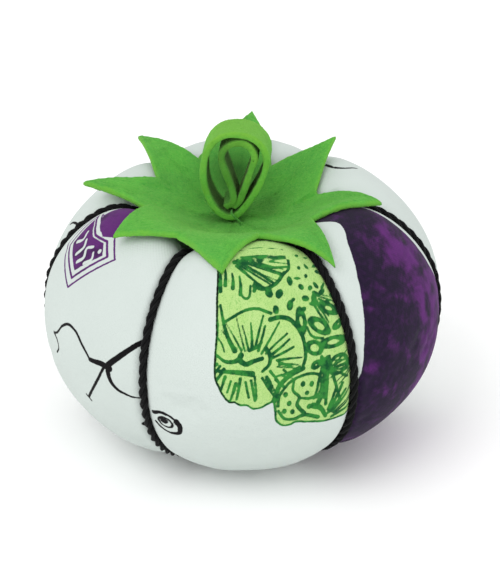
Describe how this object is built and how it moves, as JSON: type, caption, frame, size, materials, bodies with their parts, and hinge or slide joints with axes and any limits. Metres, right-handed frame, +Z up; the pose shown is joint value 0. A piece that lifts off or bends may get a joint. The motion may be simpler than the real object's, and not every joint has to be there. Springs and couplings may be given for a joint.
{
  "type": "pin cushion",
  "caption": "Tomato-shaped fabric pin cushion: sewn cotton lobes tied with black cord, with a green felt star calyx and a looped felt stem that sways.",
  "frame": {"origin": "on the resting plane, below the axis of the ball (bottom centre of the bounding box)", "axes": "+Z up along the ball's axis, front (the side with the green printed patch) towards -Y, +X to the right seen from the front"},
  "size_m": [0.0812, 0.0817, 0.0654],
  "materials": {
    "cotton_print": "plain-weave cotton with a printed pattern",
    "stuffing": "packed fibre",
    "black_cord": "twisted cotton cord",
    "seam_thread": "sewing thread",
    "green_felt": "matted wool-blend felt",
    "green_thread": "sewing thread"
  },
  "bodies": {
    "cushion": {"cover_gore_1": "cotton_print", "cover_gore_2": "cotton_print", "cover_gore_3": "cotton_print", "cover_gore_4": "cotton_print", "cover_gore_5": "cotton_print", "cover_gore_6": "cotton_print", "filling": "stuffing", "segment_cord_1": "black_cord", "segment_cord_2": "black_cord", "segment_cord_3": "black_cord", "segment_cord_4": "black_cord", "segment_cord_5": "black_cord", "segment_cord_6": "black_cord", "seam_thread_1": "seam_thread", "seam_thread_2": "seam_thread", "seam_thread_3": "seam_thread", "seam_thread_4": "seam_thread", "seam_thread_5": "seam_thread", "seam_thread_6": "seam_thread", "felt_calyx": "green_felt", "centre_tie_thread": "green_thread", "closing_knot": "green_thread"},
    "stem": {"stem_outer_loop": "green_felt", "stem_inner_loop": "green_felt"}
  },
  "joints": [
    {"name": "stem_sway", "type": "hinge", "parent": "cushion", "child": "stem", "pos_m": [-0.0016, 0, 0.04808], "axis": [0, 1, 0], "range_deg": [-20, 20]}
  ]
}
